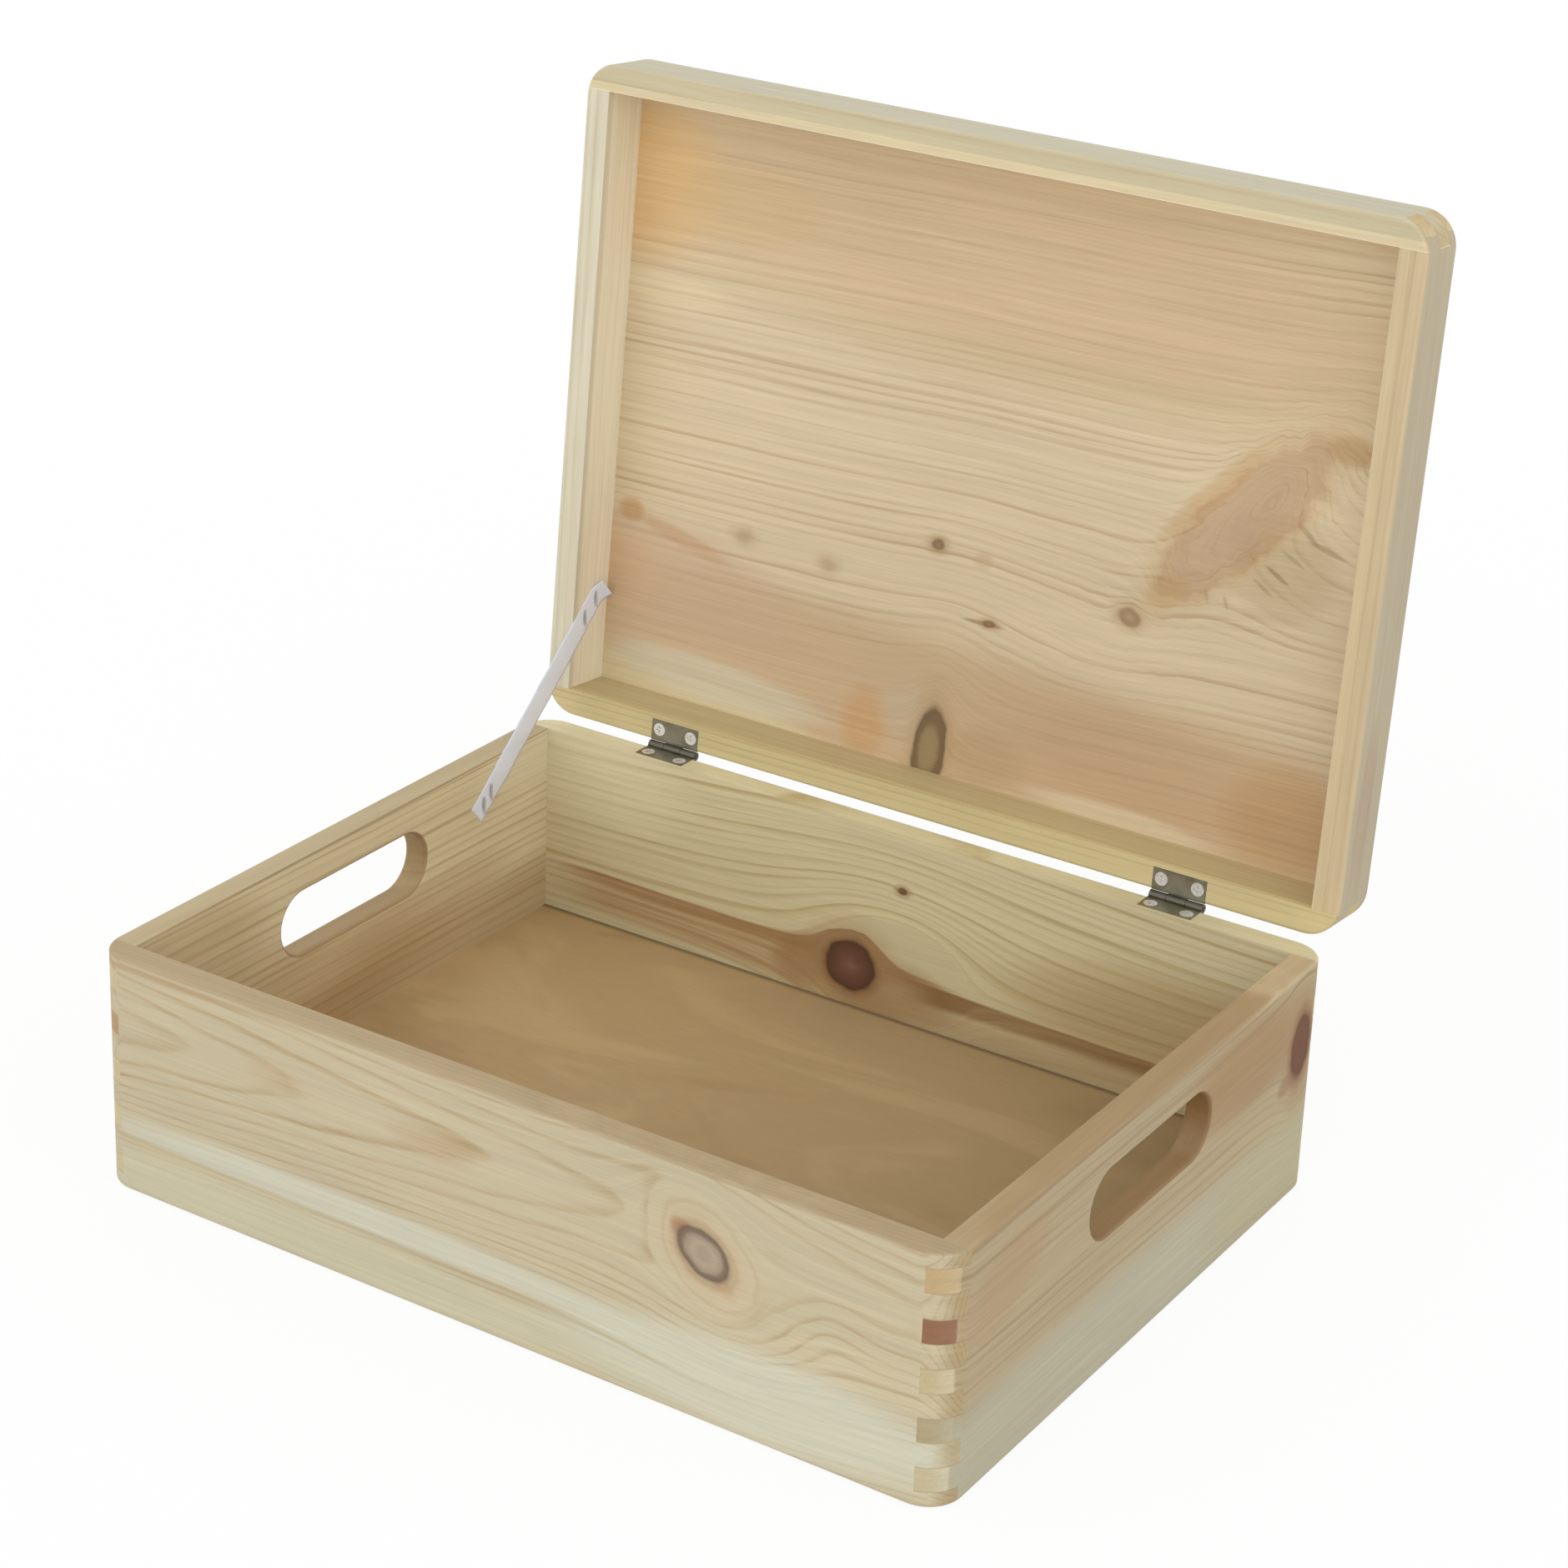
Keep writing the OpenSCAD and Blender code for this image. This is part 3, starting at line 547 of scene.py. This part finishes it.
# lid panel: close fine lines, a long spike knot and a scatter of pin knots, pinker towards the hinges
lidPanel = {
    "axes": "flat", "lid": True, "seed": 9.0, "waver": 2.0, "waverSize": (150, 30, 60), "lineStart": 0.4,
    "faintest": 0.1,
    "pith": (-420, 250), "spacing": 4.4, "lean": 0.006, "early": "#D2C09E", "late": "#B99D76",
    "knots": [
        {"at": (125, -7), "size": (50, 15), "tilt": -49, "push": 0.4, "rings": 24.0, "ringFall": 1.1,
         "ragged": 0.16, "shade": [
            (0.0, "#A98364", 0.65), (0.5, "#AB8566", 0.6), (0.8, "#AE865F", 0.55), (0.98, "#AC7E4E", 0.5),
            (1.15, "#C2A06C", 0.3), (1.5, "#C9AE84", 0.0)]},
        {"at": (-17, 35), "size": (3.4, 2.6), "push": 0.5, "ragged": 0.4, "shade": pinKnot},
        {"at": (12, 64), "size": (3.2, 1.6), "push": 0.5, "ragged": 0.4, "shade": pinKnot},
        {"at": (78, 45), "size": (5.2, 4.2), "push": 0.6, "ragged": 0.3, "shade": oldKnot},
        {"at": (-71, 57), "size": (4.0, 3.0), "push": 0.5, "ragged": 0.4, "shade": faintKnot},
        {"at": (-116, 53.5), "size": (4.5, 3.0), "push": 0.5, "ragged": 0.4, "shade": faintKnot},
        {"at": (-11.5, 128), "size": (7.8, 19.5), "tilt": 4, "ragged": 0.16, "shade": [
            (0.0, "#8F7C54", 0.9), (0.45, "#8B764E", 0.9), (0.7, "#6A5430", 0.92), (0.95, "#644E2B", 0.92),
            (1.15, "#A2875C", 0.4), (1.9, "#B89A70", 0.0)]},
    ],
    "flows": [
        {"at": (134, 2), "size": (54, 25), "tilt": -49, "rise": 15.0},
        {"at": (139, -23), "size": (17, 8), "tilt": -49, "rise": 15.0},
    ],
    "patches": [
        {"at": (0, -92), "size": (280, 62), "tilt": 3, "colour": "#C9AB82", "force": 0.65},
        {"at": (-188, -100), "size": (56, 48), "colour": "#DBB070", "force": 0.62},
        {"at": (-130, -95), "size": (50, 22), "colour": "#C9AB7A", "force": 0.5},
        {"at": (-166, -50), "size": (44, 9), "tilt": 3, "colour": "#DECBA4", "force": 0.6},
        {"at": (-40, 108), "size": (260, 42), "tilt": 2, "colour": "#C0A17C", "force": 0.7, "core": 0.2},
        {"at": (-150, 82), "size": (80, 32), "tilt": 8, "colour": "#C4A586", "force": 0.65},
        {"at": (110, 110), "size": (120, 38), "colour": "#BF9B72", "force": 0.5},
        {"at": (-150, 134), "size": (95, 11), "tilt": 4, "colour": "#D3C49C", "force": 0.85, "core": 0.3},
        {"at": (-126, 125), "size": (70, 12), "tilt": 3, "colour": "#CCC3A8", "force": 0.7, "core": 0.3},
        {"at": (84, 134.5), "size": (54, 6), "tilt": 1, "colour": "#D6C5A2", "force": 0.75, "core": 0.2},
        {"at": (14, 125), "size": (28, 16), "colour": "#B3946A", "force": 0.5},
        {"at": (164, 118), "size": (40, 36), "colour": "#B98C54", "force": 0.5},
        # painted light: the panel lightened along its edge under the front rail, against the shade there
        {"at": (0, -138), "size": (600, 14), "colour": "#DCC29A", "force": 0.5, "core": 0.0},
        {"at": (-180, 85), "size": (24, 26), "colour": "#CFAC84", "force": 0.55},
        {"at": (-46, 124), "size": (15, 22), "colour": "#C49258", "force": 0.5},
        {"at": (-26, 113), "size": (17, 16), "colour": "#BEAE90", "force": 0.5},
        {"at": (-177, 55), "size": (9, 7), "colour": "#B98550", "force": 0.6},
        {"at": (9, 64.6), "size": (13, 1.4), "colour": "#9A7648", "force": 0.7},
        {"at": (6, 37), "size": (6, 5), "colour": "#BFA27C", "force": 0.5},
        {"at": (-150, 62), "size": (34, 5), "tilt": 14, "colour": "#B98A5C", "force": 0.4},
        {"at": (110, -16), "size": (44, 6.5), "tilt": -49, "colour": "#BC925C", "force": 0.42},
        {"at": (170, -47), "size": (16, 8), "colour": "#A9824E", "force": 0.6},
        {"at": (95, 30), "size": (14, 9), "tilt": -40, "colour": "#C4A268", "force": 0.45},
        {"at": (146, 8), "size": (30, 28), "tilt": 20, "colour": "#B09870", "force": 0.5},
        {"at": (142.4, 11.4), "size": (8, 1.4), "tilt": 28, "colour": "#8C6F42", "force": 0.55},
        {"at": (154, -9), "size": (8, 1.6), "tilt": 36, "colour": "#94764A", "force": 0.5},
        {"at": (164, -4), "size": (12, 1.6), "tilt": 14, "colour": "#94764A", "force": 0.5},
        {"at": (137, 18), "size": (7, 1.3), "tilt": 34, "colour": "#967A4E", "force": 0.4},
        {"at": (149, 3), "size": (8, 1.3), "tilt": 28, "colour": "#967A4E", "force": 0.4},
        {"at": (112.5, 27.5), "size": (4, 1.2), "tilt": 75, "colour": "#A0835A", "force": 0.4},
        {"at": (121.5, 28), "size": (4, 1.2), "tilt": 70, "colour": "#A0835A", "force": 0.4},
    ],
}
for title, node, board in (
    ("FrontBoard", "base_front_board", frontBoard),
    ("BackBoard", "base_back_board", backBoard),
    ("LeftBoard", "base_left_board", leftBoard),
    ("RightBoard", "base_right_board", rightBoard),
    ("LidFrontRail", "lid_front_rail", lidFrontRail),
    ("LidBackRail", "lid_back_rail", lidBackRail),
    ("LidLeftRail", "lid_left_rail", lidLeftRail),
    ("LidRightRail", "lid_right_rail", lidRightRail),
    ("LidPanel", "lid_panel", lidPanel),
):
    dress(sandedPine("sandedPine" + title, board), node)
print("pine boards dressed")


# Birch plywood, rotary-cut and sanded: broad clouded figure, because the knife follows the rings,
# with short pale flecks.
plywoodSet = {
    "colours": ("#A2885F", "#B0966C"),
    "cloudSize": (170, 60, 60),   # mm
    "cloudTwist": 1.2,
    "cloudSpan": (0.3, 0.7),
    "paintedLightDrift": (1.16, 0.86),        # painted light and shade: lighter at the left, where the left wall shades the sheet, and darker at the right
    "paintedLightEnds": (-0.188, 0.188), # metres
    "ringTurns": 34,              # rings that the knife cut across, followed along the clouds
    "ringTone": (0.972, 1.028),
    "fleckSize": (9, 0.9, 0.9),   # mm; real flecks are about 0.3 mm wide, drawn coarser so that they show
    "fleckSpan": (0.2, 0.8),
    "fleckTone": (0.95, 1.05),
    "gap": "#54452C",             # the shadow line along the front and back walls
    "gapReach": (1.0, 4.0),       # mm from the wall
    "gapForce": 0.7,
    "inside": 138,                # mm, half of the box's inner depth
    "bump": (0.2, 0.0001),        # strength, and depth in metres
    "roughness": 0.6,
    "ior": 1.53,
}
plywood, tree = newMaterial("rotaryCutBirchPlywood")
coords = add(tree, "TexCoord")
cloud = noiseOf(tree, coords.outputs["Object"], plywoodSet["cloudSize"], 3, unit=perMetre,
                distortion=plywoodSet["cloudTwist"])
fleck = noiseOf(tree, coords.outputs["Object"], plywoodSet["fleckSize"], 2, unit=perMetre)
cloudTone = softStep(tree, cloud, *plywoodSet["cloudSpan"], 0, 1)
colour = mixColour(tree, cloudTone, *(hexColour(c) for c in plywoodSet["colours"]))
fleckTone = add(tree, "MapRange", [fleck, *plywoodSet["fleckSpan"], *plywoodSet["fleckTone"]])
place = add(tree, "VectorMath", [coords.outputs["Object"], boxMiddle], operation="SUBTRACT")
place = add(tree, "SeparateXYZ", [place])
# painted light and shade across the sheet: lighter at the left against the left wall's shadow, darker at the right
paintedLightDrift = add(tree, "MapRange", [place.outputs[0], *plywoodSet["paintedLightEnds"], *plywoodSet["paintedLightDrift"]])
ringWave = calc(tree, "SINE", calc(tree, "MULTIPLY", cloud, plywoodSet["ringTurns"]))
ringTone = add(tree, "MapRange", [ringWave, -1, 1, *plywoodSet["ringTone"]])
sheetTone = calc(tree, "MULTIPLY", calc(tree, "MULTIPLY", fleckTone, paintedLightDrift), ringTone)
colour = add(tree, "VectorMath", {"Vector": colour, "Scale": sheetTone}, operation="SCALE")
fromMiddle = calc(tree, "ABSOLUTE", calc(tree, "MULTIPLY", place.outputs[1], perMetre))
toWall = calc(tree, "SUBTRACT", plywoodSet["inside"], fromMiddle)
# painted shadow line along the front and back walls
gap = softStep(tree, toWall, *plywoodSet["gapReach"], plywoodSet["gapForce"], 0)
colour = mixColour(tree, gap, colour, hexColour(plywoodSet["gap"]))
bump = add(tree, "Bump", {"Strength": plywoodSet["bump"][0], "Distance": plywoodSet["bump"][1], "Height": fleck})
surface = add(tree, "BsdfPrincipled", {
    "Base Color": colour, "Roughness": plywoodSet["roughness"], "IOR": plywoodSet["ior"], "Normal": bump})
add(tree, "OutputMaterial", [surface])
dress(plywood, "base_bottom_panel")

# Pressed steel with dull nickel plate: grey-brown metal, a little cloudy, with fine press marks; the barrel is darker
# round the pin on which it turns.
nickelSet = {
    "colours": ("#888575", "#9D9988"),
    "cloudSize": (6, 6, 6),       # mm
    "cloudSpan": (0.3, 0.7),
    "markSize": (9, 0.5, 0.5),    # mm
    "barrelDark": "#4A473D",
    "barrelDarkReach": (1.6, 3.6),       # mm from the pin's axis
    "barrelDarkForce": 0.85,
    "bump": (0.2, 0.00004),       # strength, and depth in metres
    "roughness": (0.34, 0.5),
}
nickel, tree = newMaterial("nickelPlatedPressedSteel")
coords = add(tree, "TexCoord")
cloud = noiseOf(tree, coords.outputs["Object"], nickelSet["cloudSize"], 4, unit=perMetre)
mark = noiseOf(tree, coords.outputs["Object"], nickelSet["markSize"], 2, unit=perMetre)
cloudTone = add(tree, "MapRange", [cloud, *nickelSet["cloudSpan"], 0, 1])
colour = mixColour(tree, cloudTone, *(hexColour(c) for c in nickelSet["colours"]))
fromPin = add(tree, "VectorMath", [coords.outputs["Object"], pin], operation="SUBTRACT")
fromPin = add(tree, "VectorMath", [fromPin, (0, perMetre, perMetre)], operation="MULTIPLY")
fromPin = add(tree, "VectorMath", [fromPin], operation="LENGTH").outputs["Value"]
# darker round the pin's axis
barrelDark = softStep(tree, fromPin, *nickelSet["barrelDarkReach"], nickelSet["barrelDarkForce"], 0)
colour = mixColour(tree, barrelDark, colour, hexColour(nickelSet["barrelDark"]))
rough = add(tree, "MapRange", [cloud, *nickelSet["cloudSpan"], *nickelSet["roughness"]])
bump = add(tree, "Bump", {"Strength": nickelSet["bump"][0], "Distance": nickelSet["bump"][1], "Height": mark})
surface = add(tree, "BsdfPrincipled", {"Base Color": colour, "Metallic": 1.0, "Roughness": rough, "Normal": bump})
add(tree, "OutputMaterial", [surface])
dress(nickel, "left_hinge_base_leaf", "right_hinge_base_leaf", "left_hinge_lid_leaf", "right_hinge_lid_leaf",
      "left_hinge_pin", "right_hinge_pin")

# Bright zinc plate on drawn wire and turned screws: pale metal with a fine satin grain.
zincSet = {
    "colours": ("#E2E2DF", "#F2F2F0"),
    "grainSize": (0.8, 0.8, 0.8), # mm
    "grainSpan": (0.3, 0.7),
    "roughness": (0.42, 0.55),
}
zinc, tree = newMaterial("zincPlatedSteel")
coords = add(tree, "TexCoord")
zincGrain = noiseOf(tree, coords.outputs["Object"], zincSet["grainSize"], 3, unit=perMetre)
grainTone = add(tree, "MapRange", [zincGrain, *zincSet["grainSpan"], 0, 1])
colour = mixColour(tree, grainTone, *(hexColour(c) for c in zincSet["colours"]))
rough = add(tree, "MapRange", [zincGrain, *zincSet["grainSpan"], *zincSet["roughness"]])
surface = add(tree, "BsdfPrincipled", {"Base Color": colour, "Metallic": 1.0, "Roughness": rough})
add(tree, "OutputMaterial", [surface])
dress(zinc, "base_hinge_screws", "lid_hinge_screws", "ribbon_base_staples", "ribbon_lid_staples")
print("plywood and metal dressed")


# Ribbon stay, woven satin: a soft white band with a faint sheen, firm selvages and fine cross threads.
ribbonSet = {
    "low": (54.7225, 80.0),       # mm, y and z of the lower end's middle
    "high": (148.1425, 162.273),
    "wide": 12.0,
    "x": -187.88,                 # mm, the side that lies on the wood
    "thick": 0.24,
    "cup": 0.35,                  # mm that the middle stands off between the staples
    "wave": 0.12,                 # mm
    "waveTurns": (0.33, 1.3),     # radians for each mm along, and from the middle to an edge
    "endReach": 12,               # mm from an end over which cup and wave die away
    "pinch": 0.5,                 # mm that each staple draws the edges in
    "pinchReach": 5.0,            # mm
    "staples": (6.5, 13.5, 106.98, 117.98),
    "stapleTilt": 50,             # degrees from the ribbon's length
    "dent": (4.8, 1.5),           # mm, half the length and width of what a staple presses in
    "dentCore": 0.1,
    "dentForce": 0.7,
    "dentShade": "#9A97B2",
    "curl": 3.4,                  # mm that the free upper end stands off the rail
    "curlReach": 6.2,             # mm
    "rows": 120,
    "columns": 10,
    "uvUnit": 100,                # mm to one step of the flat map
    "thread": 0.5,                # mm; real threads are about 0.15 mm apart, drawn coarser so that they show
    "warpShare": 1.6,             # the warp's threads lie this much further apart
    "colours": ("#E5ECFD", "#F1F6FF"),
    "selvage": "#D6DEF2",
    "selvageEdge": (5.0, 5.4),    # mm from the middle
    "selvageForce": 0.5,
    "bump": (0.5, 0.00006),       # strength, and depth in metres
    "roughness": 0.46,
    "ior": 1.53,
    "sheen": 0.45,
    "sheenRoughness": 0.4,
    "sheenTint": "#D8E2FF",
}


def ribbonMesh():
    low, high = (Vector((0, *ribbonSet[k])) for k in ("low", "high"))
    run = high - low
    length = run.length
    ahead = run.normalized()
    sideways = Vector((0, -ahead.z, ahead.y))
    verts, faces, flat = [], [], []
    columns, rows = ribbonSet["columns"], ribbonSet["rows"]
    turnsAlong, turnsAcross = ribbonSet["waveTurns"]
    curlReach = ribbonSet["curlReach"]
    for i in range(rows + 1):
        s = length * i / rows
        held = max(math.exp(-((s - staple) / ribbonSet["pinchReach"]) ** 2) for staple in ribbonSet["staples"])
        ends = min(1, min(s, length - s) / ribbonSet["endReach"])
        wide = ribbonSet["wide"] - 2 * ribbonSet["pinch"] * held
        for j in range(columns + 1):
            u = j / columns * 2 - 1
            lift = ribbonSet["cup"] * (1 - held) * ends * (1 - u * u)
            lift += ribbonSet["wave"] * (1 - held) * ends * (1 + math.sin(s * turnsAlong + u * turnsAcross))
            lift += ribbonSet["curl"] * max(0, (s - length + curlReach) / curlReach) ** 2
            place = low + ahead * s + sideways * (u * wide / 2)
            verts.append(((ribbonSet["x"] + lift) / perMetre, place.y / perMetre, place.z / perMetre))
            flat.append((s, u * ribbonSet["wide"] / 2))
    for i in range(rows):
        for j in range(columns):
            a = i * (columns + 1) + j
            faces.append((a, a + 1, a + columns + 2, a + columns + 1))
    mesh = bpy.data.meshes.new("satinRibbon")
    mesh.from_pydata(verts, [], faces)
    layer = mesh.uv_layers.new(name="flat")
    for loop in mesh.loops:
        layer.data[loop.index].uv = [v / ribbonSet["uvUnit"] for v in flat[loop.vertex_index]]
    for polygon in mesh.polygons:
        polygon.use_smooth = True
    return mesh, length


mesh, ribbonLength = ribbonMesh()
ribbon = bpy.data.objects.new("satin_ribbon", mesh)
bpy.context.scene.collection.objects.link(ribbon)
thickness = ribbon.modifiers.new("thickness", "SOLIDIFY")
thickness.thickness = ribbonSet["thick"] / perMetre
thickness.offset = 1.0
bpy.context.view_layer.objects.active = ribbon
ribbon.select_set(True)
bpy.ops.object.modifier_apply(modifier="thickness")

satin, tree = newMaterial("wovenSatinRibbon")
flatUv = add(tree, "UVMap", uv_map="flat")
threadSpace = add(tree, "Mapping", {"Vector": flatUv, "Scale": (ribbonSet["uvUnit"], ribbonSet["uvUnit"], 1)})
threadPitch = 20 * ribbonSet["thread"] / (2 * math.pi)    # a wave texture has 20 radians to a step
threads = add(tree, "TexWave", {
    "Vector": threadSpace, "Scale": 1 / threadPitch, "Distortion": 0.6, "Detail": 1}, bands_direction="X")
warpThreads = add(tree, "TexWave", {
    "Vector": threadSpace, "Scale": 1 / (threadPitch * ribbonSet["warpShare"]), "Distortion": 0.4, "Detail": 1},
    bands_direction="Y")
weave = calc(tree, "ADD", threads, warpThreads)
weaveTone = add(tree, "MapRange", [weave, 0, 2, 0, 1])
colour = mixColour(tree, weaveTone, *(hexColour(c) for c in ribbonSet["colours"]))
fromMiddle = calc(tree, "ABSOLUTE", add(tree, "SeparateXYZ", [threadSpace]).outputs[1])
selvage = add(tree, "MapRange", [fromMiddle, *ribbonSet["selvageEdge"], 0, ribbonSet["selvageForce"]])
colour = mixColour(tree, selvage, colour, hexColour(ribbonSet["selvage"]))
# each staple presses a dent that lies in shade
for staple in ribbonSet["staples"]:
    square = fromMark(tree, threadSpace, {
        "at": (staple, 0), "size": ribbonSet["dent"], "tilt": ribbonSet["stapleTilt"]})
    shade = softStep(tree, square, ribbonSet["dentCore"], 1, ribbonSet["dentForce"], 0)
    colour = mixColour(tree, shade, colour, hexColour(ribbonSet["dentShade"]))
bump = add(tree, "Bump", {"Strength": ribbonSet["bump"][0], "Distance": ribbonSet["bump"][1], "Height": weave})
surface = add(tree, "BsdfPrincipled", {
    "Base Color": colour, "Roughness": ribbonSet["roughness"], "IOR": ribbonSet["ior"],
    "Sheen Weight": ribbonSet["sheen"], "Sheen Roughness": ribbonSet["sheenRoughness"],
    "Sheen Tint": hexColour(ribbonSet["sheenTint"]), "Normal": bump})
add(tree, "OutputMaterial", [surface])
ribbon.data.materials.append(satin)
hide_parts("stay_ribbon")
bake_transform(ribbon)
print("ribbon made, length", round(ribbonLength, 1), "mm")


# white studio: even light all round, a broad soft lamp from the front left and a broader one from the right
lightSet = {
    "world": 0.86,
    "backdrop": 1.0,
    "lamps": [
        ("leftLamp", (-0.35, -0.85, 0.45), 0.5, 60),    # direction, strength, spread in degrees
        ("rightLamp", (0.85, -0.4, 0.4), 0.8, 90),
    ],
}
for name, direction, strength, spread in lightSet["lamps"]:
    lampData = bpy.data.lights.new(name, "SUN")
    lampData.energy = strength
    lampData.angle = math.radians(spread)
    lamp = bpy.data.objects.new(name, lampData)
    lamp.rotation_euler = Vector(direction).to_track_quat("Z", "Y").to_euler()
    bpy.context.scene.collection.objects.link(lamp)


# 1 for rays that the picture shows, straight or by a reflection
def shownRays(tree):
    path = add(tree, "LightPath")
    shown = calc(tree, "MAXIMUM", path.outputs["Is Camera Ray"], path.outputs["Is Glossy Ray"])
    return calc(tree, "MAXIMUM", shown, path.outputs["Is Transmission Ray"])


plainWhite = (1, 1, 1, 1)
world = bpy.data.worlds.new("whiteStudio")
world.use_nodes = True
tree = world.node_tree
tree.nodes.clear()
around = add(tree, "Background", {"Color": plainWhite, "Strength": lightSet["world"]})
backdrop = add(tree, "Background", {"Color": plainWhite, "Strength": lightSet["backdrop"]})
worldMix = add(tree, "MixShader", [shownRays(tree), around, backdrop])
add(tree, "OutputWorld", [worldMix])
bpy.context.scene.world = world

# White paper sweep, matt: the shadow stays in it, faint under the white of the backdrop.
floorSet = {
    "half": 6,                    # metres
    "level": -0.0004,             # metres, just under the boards' lower edges
    "colours": ("#F1F1F0", "#F5F5F4"),
    "tooth": 900,                 # grains to a metre
    "roughness": 0.4,
    "white": 0.9,                 # share of the backdrop's white
}
half, level = floorSet["half"], floorSet["level"]
floorMesh = bpy.data.meshes.new("paperFloor")
floorMesh.from_pydata(
    [(-half, -half, level), (half, -half, level), (half, half, level), (-half, half, level)], [], [(0, 1, 2, 3)])
floor = bpy.data.objects.new("paperFloor", floorMesh)
bpy.context.scene.collection.objects.link(floor)
paper, tree = newMaterial("mattWhitePaper")
share = calc(tree, "MULTIPLY", shownRays(tree), floorSet["white"])
coords = add(tree, "TexCoord")
tooth = add(tree, "TexNoise", {"Vector": coords.outputs["Object"], "Scale": floorSet["tooth"], "Detail": 2})
toothTone = mixColour(tree, tooth, *(hexColour(c) for c in floorSet["colours"]))
sheetOfPaper = add(tree, "BsdfDiffuse", {"Color": toothTone, "Roughness": floorSet["roughness"]})
white = add(tree, "Emission", {"Color": plainWhite, "Strength": lightSet["backdrop"]})
paperMix = add(tree, "MixShader", [share, sheetOfPaper, white])
add(tree, "OutputMaterial", [paperMix])
floor.data.materials.append(paper)
print("light and floor set")
